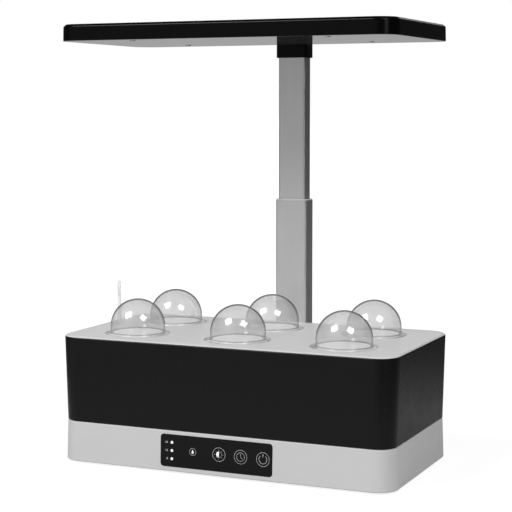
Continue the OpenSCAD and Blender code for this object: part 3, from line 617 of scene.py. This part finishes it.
fitting_black = moulded("black nylon", (0.016, 0.016, 0.017), roughness=0.45, change=0.08, grain=700)
power_inlet = made_from("dc_inlet", "power_inlet", fitting_black, 0.0002)
fitted(power_inlet, "base", "fitting_black", "dc_inlet")
pump_socket = made_from("contact_socket", "pump_socket", fitting_black, 0.0002)
fitted(pump_socket, "base", "fitting_black", "contact_socket")
lead_black = rubber("lead sheath", (0.014, 0.014, 0.015), 0.5)
inner_lead = piece_from(whole_faces("base_lead"), "base_cable", lead_black)
fitted(inner_lead, "base", "lead_black", "base_lead")


# ---- Lower mast and its bush
# A flat aluminium tube, drawn, brushed lengthways and clear anodised, with a light nylon bush pressed
# into its upper end to guide the mast above.

mast_metal = bare_metal(
    "brushed anodised aluminium", (0.86, 0.86, 0.86), roughness=0.44, lines=1400, stretch=(1, 1, 0.012)
)
lower_tube = made_from("lower_mast", "mast_sleeve", mast_metal, 0.0002, corner=50)
fitted(lower_tube, "base", "mast_aluminium", "lower_mast")
bush_grey = moulded("light grey nylon", (0.94, 0.94, 0.94), roughness=0.35)
guide_bush = made_from("mast_bush", "guide_bush", bush_grey, 0.0002, corner=50)
fitted(guide_bush, "base", "bush_grey", "mast_bush")


# ---- Water tank
# A black ABS tub with drafted walls, open above, that drops over the base's pad. Semi-gloss outside,
# with a frame for the pump and the boss of the contact plug on its floor.

tank_black = moulded(
    "semi-gloss black abs", (0.0050, 0.0050, 0.0052),
    roughness=0.28, change=0.08, depth=0.00001, sheen=0.26,
)
tub = made_from("water_tank", "tank_tub", tank_black, 0.0004)
fitted(tub, "tank", "tank_black", "water_tank")


# ---- Pump
# A small submersible pump: dark grey body, slotted snap-on filter, outlet nozzle, four suction cups,
# and a lead to the sealed plug in the tank's floor.

pump_grey = moulded("dark grey abs", (0.05, 0.05, 0.052), roughness=0.45, change=0.06, grain=800)
cup_rubber = rubber("soft cup rubber", (0.10, 0.10, 0.10), 0.55)
for node, name, finish, slot_name in (
    ("pump_body", "pump_block", pump_grey, "pump_grey"),
    ("pump_filter", "pump_grille", fitting_black, "fitting_black"),
    ("pump_outlet", "pump_nozzle", pump_grey, "pump_grey"),
    ("pump_cups", "suction_cups", cup_rubber, "cup_rubber"),
    ("pump_lead", "pump_cable", lead_black, "lead_black"),
    ("contact_plug", "tank_plug", fitting_black, "fitting_black"),
):
    pump_part = made_from(node, name, finish, 0.0002)
    fitted(pump_part, "tank", slot_name, node)


# ---- Deck
# The light-grey lid of the tank: one ABS moulding with six sunk seats, collars, ribs below and a
# slotted guide for the float. The chamfer round its top is rolled over a little further.

deck_inset, deck_chamfer = 0.0003, 0.0007
rolled_in, rolled_down = 0.0006, 0.0002
deck_grey = moulded(
    "satin deck abs", (0.68, 0.68, 0.68), roughness=0.45, change=0.01, depth=0.0000008, sheen=0.17
)
deck_solid = whole_faces("deck")
deck_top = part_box("deck")[1].z
rim_drawn_in(deck_solid, deck_top, deck_inset + deck_chamfer, rolled_in)
for vertex in deck_solid.verts:
    if abs(vertex.co.z - (deck_top - deck_chamfer)) < same_height:
        vertex.co.z -= rolled_down
lid = eased(piece_from(deck_solid, "deck_lid", deck_grey), 0.0004)
fitted(lid, "deck_plate", "deck_grey", "deck")


# ---- Float gauge
# A milky acetal rod with a rounded tip and a mark turned into it. It is pressed into a white float
# below the deck, and light shines a little way through it.

gauge_white = moulded("white float foam", (0.80, 0.80, 0.80), roughness=0.35)


def blended(tree, share, first, second):
    """A mix of two shaders, from the first to the second with the share."""
    return linked(tree, "ShaderNodeMixShader", [(0, share), (1, first), (2, second)]).outputs[0]


rod_milky = moulded("milky acetal", (0.85, 0.85, 0.85), roughness=0.3)
milky_tree = rod_milky.node_tree
milky_clear = linked(milky_tree, "ShaderNodeBsdfTransparent", [("Color", (0.97, 0.97, 0.97, 1))])
milky_edge = linked(milky_tree, "ShaderNodeLayerWeight", [("Blend", 0.35)])
milky_share = between(milky_tree, milky_edge.outputs["Facing"], 0.35, 0.55)
milky_body = milky_tree.nodes["Principled BSDF"].outputs[0]
milky_mix = blended(milky_tree, milky_share, milky_clear.outputs[0], milky_body)
milky_tree.links.new(milky_mix, milky_tree.nodes["Material Output"].inputs["Surface"])

rod_low, rod_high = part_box("gauge_rod")
rod_radius, rod_top, rod_foot = 1.65, rod_high.z * 1000, rod_low.z * 1000
mark_radius, mark_z = 1.3, rod_top - 14
rod_rings = [
    (0, rod_top), (0.6, rod_top - 0.05), (1.15, rod_top - 0.35), (1.5, rod_top - 0.8),
    (rod_radius, rod_top - 1.4), (rod_radius, mark_z + 0.4), (mark_radius, mark_z + 0.3),
    (mark_radius, mark_z - 0.3), (rod_radius, mark_z - 0.4),
    (rod_radius, rod_foot + 0.3), (rod_radius - 0.3, rod_foot), (0, rod_foot),
]
rod = piece_from(turned(rod_rings, middle_of("gauge_rod"), 32), "gauge_stem", rod_milky)
fitted(rod, "float", "gauge_white", "gauge_rod")
float_part = made_from("float_block", "float_buoy", gauge_white, 0.0003)
fitted(float_part, "float", "gauge_white", "float_block")


# ---- Pods
# Six alike: a white tapered basket with slots, a grow sponge in it, and a light-grey cap that keeps
# the light out until the seedling is through.

basket_white = moulded("white polypropylene", (0.76, 0.76, 0.76), roughness=0.42, change=0.02)
cap_grey = moulded("light grey cap", (0.93, 0.93, 0.93), roughness=0.38, change=0.02)

sponge_brown, sponge_tree, sponge_shader, sponge_place = new_finish("open cell grow sponge")
cells = linked(sponge_tree, "ShaderNodeTexVoronoi", [("Vector", sponge_place), ("Scale", 900)])
cell_depth = cells.outputs["Distance"]
sponge_colour = two_tone(sponge_tree, cell_depth, (0.035, 0.020, 0.012), (0.16, 0.10, 0.06))
sponge_tree.links.new(sponge_colour, sponge_shader.inputs["Base Color"])
sponge_dull = between(sponge_tree, speckle(sponge_tree, sponge_place, 200), 0.85, 1.0)
sponge_tree.links.new(sponge_dull, sponge_shader.inputs["Roughness"])
grained(sponge_tree, sponge_shader, cell_depth, 0.0006, 0.9)

pod_centres = {}
for pod in range(1, 7):
    body = f"pod_{pod}"
    pod_centres[pod] = middle_of(f"dome_{pod}")
    cup = made_from(f"basket_{pod}", f"slotted_cup_{pod}", basket_white, 0.00025, 1)
    fitted(cup, body, "basket_white", f"basket_{pod}")
    plug = made_from(f"sponge_{pod}", f"grow_sponge_{pod}", sponge_brown, 0.0004)
    fitted(plug, body, "sponge_brown", f"sponge_{pod}")
    lid_disc = made_from(f"pod_cap_{pod}", f"seed_cap_{pod}", cap_grey, 0.0003)
    fitted(lid_disc, body, "cap_grey", f"pod_cap_{pod}")


# ---- Domes
# Six clear PET domes, blown with a straight skirt and a flat rim that rests on the basket's rim. The
# wall is even. Its see-through colour is painted dark where the wall is seen along, more towards the
# crown, and in a thin line at its foot: painted shade.

rim_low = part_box("dome_1")[0].z * 1000
dome_reach, dome_wall, skirt, flange, flange_t = 23.4, 1.2, 6.9, 27.0, 1.2
dome_inner, dome_mid, flange_top = dome_reach - dome_wall, rim_low + skirt, rim_low + flange_t
dome_steps = 30
haze, skin_mirror, rim_mirror = 0.13, 0.09, 0.03
quarter = [math.radians(90 - 90 / dome_steps * k) for k in range(1, dome_steps + 1)]
dome_rings = [(0, dome_mid + dome_reach)]
dome_rings += [(dome_reach * math.cos(t), dome_mid + dome_reach * math.sin(t)) for t in quarter]
dome_rings += [(dome_reach, flange_top + 2.4), (dome_reach, flange_top + 0.6)]
dome_rings += [(dome_reach + 0.18, flange_top + 0.18), (dome_reach + 0.6, flange_top)]
dome_rings += [(flange - 0.35, flange_top), (flange - 0.1, flange_top - 0.12)]
dome_rings += [(flange, flange_top - 0.4), (flange, rim_low + 0.3), (flange - 0.3, rim_low)]
dome_rings += [(dome_inner + 0.3, rim_low), (dome_inner, rim_low + 0.3)]
dome_rings += [(dome_inner * math.cos(t), dome_mid + dome_inner * math.sin(t)) for t in reversed(quarter)]
dome_rings.append((0, dome_mid + dome_inner))

dome_clear, dome_tree, dome_shader, dome_place = new_finish("clear pet")
seen_along = linked(dome_tree, "ShaderNodeLayerWeight", [("Blend", 0.5)]).outputs["Facing"]
outer_skin = linked(dome_tree, "ShaderNodeAttribute", attribute_name="outer_skin").outputs["Fac"]
flat_rim = linked(dome_tree, "ShaderNodeAttribute", attribute_name="flat_rim").outputs["Fac"]
dome_height = linked(dome_tree, "ShaderNodeSeparateXYZ", [(0, dome_place)]).outputs["Z"]
flow_marks = speckle(dome_tree, dome_place, 26, 2.0)

# Painted shade: the see-through colour goes dark where the wall is seen along, less so low on the skirt.
edge_only = between(dome_tree, seen_along, 0, 1, 0.60, 0.76)
painted_crown_shade = between(
    dome_tree, dome_height, 0.3, 1, (flange_top + 3) / 1000, (dome_mid + 0.7 * dome_reach) / 1000
)
painted_edge_share = worked_out(
    dome_tree, "MULTIPLY", worked_out(dome_tree, "MULTIPLY", edge_only, outer_skin), painted_crown_shade
)
# Painted shade: a dark band in the see-through colour just above the flat rim, where the skirt meets it.
painted_foot_shade = worked_out(
    dome_tree, "MULTIPLY",
    between(dome_tree, dome_height, 0, 1, (flange_top + 0.05) / 1000, (flange_top + 0.25) / 1000),
    between(dome_tree, dome_height, 0, 1, (flange_top + 1.1) / 1000, (flange_top + 0.8) / 1000),
)
clear_tint = two_tone(dome_tree, flow_marks, (0.922, 0.922, 0.922), (0.932, 0.932, 0.932))
tint_with_foot_shade = two_tone(dome_tree, painted_foot_shade, clear_tint, (0.62, 0.62, 0.62))
tint_with_edge_shade = two_tone(dome_tree, painted_edge_share, tint_with_foot_shade, (0.03, 0.03, 0.03))
seen_through = linked(dome_tree, "ShaderNodeBsdfTransparent", [("Color", tint_with_edge_shade)]).outputs[0]
faint_haze = linked(dome_tree, "ShaderNodeBsdfDiffuse", [("Color", (0.92, 0.92, 0.92, 1))]).outputs[0]
hazy = blended(dome_tree, haze, seen_through, faint_haze)

mirrored = linked(dome_tree, "ShaderNodeBsdfGlossy", [
    ("Color", (1, 1, 1, 1)), ("Roughness", between(dome_tree, flow_marks, 0.12, 0.15)),
]).outputs[0]
skin = linked(dome_tree, "ShaderNodeFresnel", [("IOR", 1.75)]).outputs[0]
most_mirror = linked(dome_tree, "ShaderNodeMath", [
    (0, flat_rim), (1, rim_mirror - skin_mirror), (2, skin_mirror),
], operation="MULTIPLY_ADD").outputs[0]
dome_mix = blended(dome_tree, worked_out(dome_tree, "MINIMUM", skin, most_mirror), hazy, mirrored)
lamp_light = linked(dome_tree, "ShaderNodeBsdfTransparent", [("Color", (0.99, 0.99, 0.99, 1))]).outputs[0]
in_shadow = linked(dome_tree, "ShaderNodeLightPath").outputs["Is Shadow Ray"]
lets_light = blended(dome_tree, in_shadow, dome_mix, lamp_light)
dome_tree.links.new(lets_light, dome_tree.nodes["Material Output"].inputs["Surface"])
dome_tree.nodes.remove(dome_shader)

for pod, centre in pod_centres.items():
    clear_dome = piece_from(turned(dome_rings, centre, 96), f"clear_dome_{pod}", dome_clear)
    outer = clear_dome.data.attributes.new("outer_skin", "FLOAT", "POINT")
    flat = clear_dome.data.attributes.new("flat_rim", "FLOAT", "POINT")
    for k, vertex in enumerate(clear_dome.data.vertices):
        out_by = (vertex.co - Vector((centre.x, centre.y, dome_mid / 1000))) * 1000
        out_by.z = max(0, out_by.z)
        reach = out_by.length
        outer.data[k].value = float(abs(reach - dome_reach) < dome_wall / 3 or reach > flange - 0.2)
        flat.data[k].value = float(reach > dome_reach + 0.1)
    fitted(clear_dome, f"cloche_{pod}", "dome_clear", f"dome_{pod}")


# ---- Upper mast
# The narrower aluminium tube with a nylon glide on its foot. The lead to the lamp runs inside it, with
# slack.

upper_tube = made_from("upper_mast", "mast_tube", mast_metal, 0.0002, corner=50)
fitted(upper_tube, "lamp_head", "mast_aluminium", "upper_mast")
glide = made_from("mast_glide", "mast_runner", bush_grey, 0.0002, corner=50)
fitted(glide, "lamp_head", "bush_grey", "mast_glide")
lamp_cable = piece_from(whole_faces("lamp_lead"), "lamp_cable", lead_black)
fitted(lamp_cable, "lamp_head", "lead_black", "lamp_lead")
mast_cable = piece_from(whole_faces("mast_lead"), "mast_cable", lead_black)
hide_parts("mast_lead")
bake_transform(mast_cable)


# ---- Neck
# A black glass-filled nylon cap on the upper mast. Its tongue reaches through the back of the shade
# and two screws hold it to the roof.

neck_black = moulded(
    "black filled nylon", (0.0025, 0.0025, 0.0025),
    roughness=0.4, change=0.08, depth=0.00001, sheen=0.15,
)
neck = made_from("lamp_neck", "lamp_collar", neck_black, 0.0003)
fitted(neck, "lamp_head", "neck_black", "lamp_neck")

neck_head_radius, neck_head_height = 0.00125, 0.001
neck_low, neck_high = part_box("neck_screws")
neck_spots = [
    Vector((x, (neck_low.y + neck_high.y) / 2, neck_low.z + neck_head_height / 2))
    for x in (neck_low.x + neck_head_radius, neck_high.x - neck_head_radius)
]
neck_bolts = by_rule("collar_fixings", screw_rule, neck_spots, screw_zinc, {
    "Turn": head_down, "Head radius": neck_head_radius, "Head height": neck_head_height,
    "Shank radius": 0.0011, "Shank length": neck_high.z - neck_low.z - neck_head_height - shank_slack,
})
fitted(neck_bolts, "lamp_head", "screw_steel", "neck_screws")


# ---- Lamp shade
# A shallow black ABS tray, open below, with straight sides and a narrow sloping edge on top. The
# mould leaves the crease below that slope well rounded.

slope_height = 0.0018
shade_black = moulded(
    "black shade abs", (0.0018, 0.0018, 0.0018),
    roughness=0.22, change=0.08, depth=0.000006, sheen=0.15,
)
shade_solid = whole_faces("lamp_shade")
crease_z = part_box("lamp_shade")[1].z - slope_height
crease = []
for edge in shade_solid.edges:
    level_edge = all(abs(v.co.z - crease_z) < same_height for v in edge.verts)
    if level_edge and len(edge.link_faces) == 2 and edge.calc_face_angle() > 0.35:
        crease.append(edge)
bmesh.ops.bevel(
    shade_solid, geom=crease, offset=0.0013, segments=5, profile=0.5, affect="EDGES", clamp_overlap=True,
)
shade = eased(piece_from(shade_solid, "shade_tray", shade_black), 0.0004, corner=20)
fitted(shade, "lamp_head", "shade_black", "lamp_shade")


# ---- Lamp plate
# A smoked gloss acrylic plate, cut from sheet, that closes the shade from below. Four small
# nickel-plated screws hold it to the roof.

plate_smoke = moulded(
    "smoked gloss acrylic", (0.095, 0.095, 0.095),
    roughness=0.015, change=0.05, grain=60, depth=0.0000004, sheen=0.43,
)
cover_plate = made_from("lamp_plate", "light_plate", plate_smoke, 0.00015)
fitted(cover_plate, "lamp_head", "plate_grey", "lamp_plate")

plate_head_radius, plate_head_height = 0.0023, 0.0005
screw_nickel = bare_metal("nickel plated steel", (0.85, 0.85, 0.85), roughness=0.45, lines=420)
plate_low, plate_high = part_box("plate_screws")
plate_spots = [
    Vector((x, y, plate_low.z + plate_head_height / 2))
    for x in (plate_low.x + plate_head_radius, plate_high.x - plate_head_radius)
    for y in (plate_low.y + plate_head_radius, plate_high.y - plate_head_radius)
]
plate_bolts = by_rule("plate_fixings", screw_rule, plate_spots, screw_nickel, {
    "Turn": head_down, "Head radius": plate_head_radius, "Head height": plate_head_height,
    "Shank length": plate_high.z - plate_low.z - plate_head_height - shank_slack,
})
fitted(plate_bolts, "lamp_head", "screw_steel", "plate_screws")


# ---- LED board
# A white-masked aluminium board above the plate, with rows of square LEDs soldered to its underside.
# Yellow phosphor covers each package, which has a shallow window in it.

led_side, led_window, led_columns, led_rows = 0.0035, 0.0026, 12, 6
board_white = circuit("white solder mask", (0.74, 0.74, 0.73), (0.62, 0.62, 0.61), 90)
light_board = made_from("led_board", "light_board", board_white, 0.0001, 1)
fitted(light_board, "lamp_head", "board_white", "led_board")

led_rule, given, out = new_rule("led rows", [
    ("Side", "NodeSocketFloat", led_side), ("Thickness", "NodeSocketFloat", 0.0009),
    ("Window", "NodeSocketFloat", led_window), ("Finish", "NodeSocketMaterial", None),
])
led_blocks = []
for side in (given["Side"], given["Window"]):
    size = linked(led_rule, "ShaderNodeCombineXYZ", [("X", side), ("Y", side), ("Z", given["Thickness"])])
    led_blocks.append(linked(led_rule, "GeometryNodeMeshCube", [("Size", size.outputs[0])]))
case, window_cut = led_blocks
sunk_by = linked(led_rule, "ShaderNodeCombineXYZ", [
    ("Z", worked_out(led_rule, "MULTIPLY", given["Thickness"], -0.8)),
])
window_low = linked(led_rule, "GeometryNodeTransform", [
    ("Geometry", window_cut.outputs["Mesh"]), ("Translation", sunk_by.outputs[0]),
])
dished = linked(led_rule, "GeometryNodeMeshBoolean", operation="DIFFERENCE")
led_rule.links.new(case.outputs["Mesh"], dished.inputs["Mesh 1"])
led_rule.links.new(window_low.outputs[0], dished.inputs["Mesh 2"])
led_spots = linked(led_rule, "GeometryNodeInstanceOnPoints", [
    ("Points", given["Geometry"]), ("Instance", dished.outputs["Mesh"]),
])
leds_made = linked(led_rule, "GeometryNodeRealizeInstances", [("Geometry", led_spots.outputs["Instances"])])
leds_done = linked(led_rule, "GeometryNodeSetMaterial", [
    ("Geometry", leds_made.outputs[0]), ("Material", given["Finish"]),
])
led_rule.links.new(leds_done.outputs[0], out)

led_yellow = moulded("yellow phosphor", (0.72, 0.56, 0.16), roughness=0.5, change=0.06, grain=1500)
led_low, led_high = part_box("led_chips")
led_places = [
    Vector((
        led_low.x + led_side / 2 + (led_high.x - led_low.x - led_side) * column / (led_columns - 1),
        led_low.y + led_side / 2 + (led_high.y - led_low.y - led_side) * row / (led_rows - 1),
        (led_low.z + led_high.z) / 2,
    ))
    for column in range(led_columns)
    for row in range(led_rows)
]
leds = by_rule("led_packages", led_rule, led_places, led_yellow, {})
fitted(leds, "lamp_head", "led_yellow", "led_chips")


# ---- Floor
# A pale sweep under and behind the garden. It shows white and keeps the soft shadow at the feet. What
# shines mirrors it brightest in a few directions, far from the garden.

sweep_half = 40
floor_mesh = bpy.data.meshes.new("sweep")
floor_corners = [(x * sweep_half, y * sweep_half, 0) for x, y in ((-1, -1), (1, -1), (1, 1), (-1, 1))]
floor_mesh.from_pydata(floor_corners, [], [(0, 1, 2, 3)])
floor = bpy.data.objects.new("sweep", floor_mesh)
bpy.context.scene.collection.objects.link(floor)
sweep, sweep_tree, paper, floor_place = new_finish("pale sweep")
paper.inputs["Base Color"].default_value = (0.55, 0.55, 0.55, 1)
paper.inputs["Roughness"].default_value = 0.9
paper.inputs["Specular IOR Level"].default_value = 0.0
from_garden = linked(sweep_tree, "ShaderNodeVectorMath", [(0, floor_place)], operation="LENGTH")
way_out = linked(sweep_tree, "ShaderNodeVectorMath", [(0, floor_place)], operation="NORMALIZE")


def further_out(near, far, start, stop):
    """A level that changes with the distance from the garden."""
    reach = from_garden.outputs["Value"]
    return between(sweep_tree, reach, near, far, start, stop, interpolation_type="SMOOTHSTEP")


def lit_from(tree, toward, patches):
    """The level that shows in a mirror, by direction. Each patch has its way, the angles in degrees
    within which it is full and beyond which it is gone, and its levels there and beyond."""
    total = None
    for way, full, gone, level, beyond in patches:
        near = linked(
            tree, "ShaderNodeVectorMath", [(0, toward), (1, Vector(way).normalized())],
            operation="DOT_PRODUCT",
        ).outputs["Value"]
        start, stop = math.cos(math.radians(gone)), math.cos(math.radians(full))
        patch = between(tree, near, beyond, level, start, stop, interpolation_type="SMOOTHSTEP")
        total = worked_out(tree, "ADD", total, patch) if total else patch
    return total


# The glow is weaker near the garden, painted shade round it, so that the real shadow at the feet shows.
white = linked(sweep_tree, "ShaderNodeEmission", [("Strength", further_out(0.87, 1.02, 0.3, 1.4))])
shaded = linked(sweep_tree, "ShaderNodeBsdfDiffuse", [("Color", (0.24, 0.24, 0.24, 1))])
shown = linked(sweep_tree, "ShaderNodeAddShader", [(0, white.outputs[0]), (1, shaded.outputs[0])])
far_level = lit_from(sweep_tree, way_out.outputs["Vector"], (
    ((-0.63, 0.78, 0), 18, 40, 0.42, 0.025),
    ((-0.40, -0.92, 0), 25, 60, 0.51, 0.025),
    ((0.40, 0.92, 0), 15, 40, 0.046, 0.0),
))
dimmer_near = worked_out(sweep_tree, "MULTIPLY", far_level, further_out(0.45, 1.0, 0.45, 1.1))
mirrored_far = linked(sweep_tree, "ShaderNodeEmission", [("Strength", dimmer_near)])
in_gloss = blended(
    sweep_tree, further_out(0.0, 1.0, 0.25, 0.7), paper.outputs[0], mirrored_far.outputs[0]
)
seen_by = linked(sweep_tree, "ShaderNodeLightPath").outputs
straight = worked_out(sweep_tree, "MAXIMUM", seen_by["Is Camera Ray"], seen_by["Is Transmission Ray"])
by_gloss = blended(sweep_tree, seen_by["Is Glossy Ray"], paper.outputs[0], in_gloss)
floor_look = blended(sweep_tree, straight, by_gloss, shown.outputs[0])
sweep_tree.links.new(floor_look, sweep_tree.nodes["Material Output"].inputs["Surface"])
floor_mesh.materials.append(sweep)


# ---- Room and lamps
# A plain white room. What shines mirrors a lit wall behind, a dim one in front and a narrow bright
# strip at the right. Two square softboxes, turned on their corners, light the garden from the front.

room = bpy.data.worlds.new("studio")
bpy.context.scene.world = room
room.use_nodes = True
room_tree = room.node_tree
backing = room_tree.nodes["Background"]
backing.inputs["Color"].default_value = (1, 1, 1, 1)
ray = linked(room_tree, "ShaderNodeLightPath").outputs
toward = linked(room_tree, "ShaderNodeTexCoord").outputs["Generated"]
unlit, soft_level = 0.012, 0.30
mirror_level = lit_from(room_tree, toward, (
    ((-0.35, 0.925, 0.12), 14, 26, 0.88, unlit),
    ((-0.40, -0.917, 0.0), 10, 46, 0.28, unlit),
    ((0.836, -0.549, 0.05), 3, 10, 2.6, unlit),
))
gloss_or_soft = linked(room_tree, "ShaderNodeMix", [
    ("Factor", ray["Is Glossy Ray"]), ("A", soft_level), ("B", mirror_level),
]).outputs["Result"]
direct = worked_out(room_tree, "MAXIMUM", ray["Is Camera Ray"], ray["Is Transmission Ray"])
any_ray = linked(room_tree, "ShaderNodeMix", [("Factor", direct), ("A", gloss_or_soft), ("B", 1.0)])
room_tree.links.new(any_ray.outputs["Result"], backing.inputs["Strength"])

aim = Vector((0, 0, 0.15))
softbox_away, softbox_side = 2.0, 0.82
for name, way, level in (
    ("left softbox", Vector((-0.388, -0.607, 0.693)), 0.57),
    ("right softbox", Vector((0.616, -0.459, 0.641)), 0.33),
):
    softbox = bpy.data.lights.new(name, "AREA")
    softbox.shape = "SQUARE"
    softbox.size = softbox_side
    softbox.energy = math.pi * math.pi * level * softbox_away ** 2
    lit = bpy.data.objects.new(name, softbox)
    lit.location = aim + way.normalized() * softbox_away
    lit.rotation_euler = (
        way.normalized().to_track_quat("Z", "Y").to_matrix().to_4x4() @ Matrix.Rotation(math.pi / 4, 4, "Z")
    ).to_euler()
    bpy.context.scene.collection.objects.link(lit)


# ---- Camera
# A long lens from the front right, a little below the lamp and tilted down, so that the underside of
# the lamp shows as well as the deck.

lens = bpy.data.cameras.new("camera")
lens.lens = 104.947
lens.sensor_width = 36
lens.clip_start = 0.05
lens.clip_end = 60
camera = bpy.data.objects.new("camera", lens)
camera.location = (0.510749, -1.169895, 0.302426)
camera.rotation_euler = (math.radians(90 - 5.712), math.radians(0.054), math.radians(23.758))
bpy.context.scene.collection.objects.link(camera)
bpy.context.scene.camera = camera
bpy.context.scene.view_settings.view_transform = "Standard"
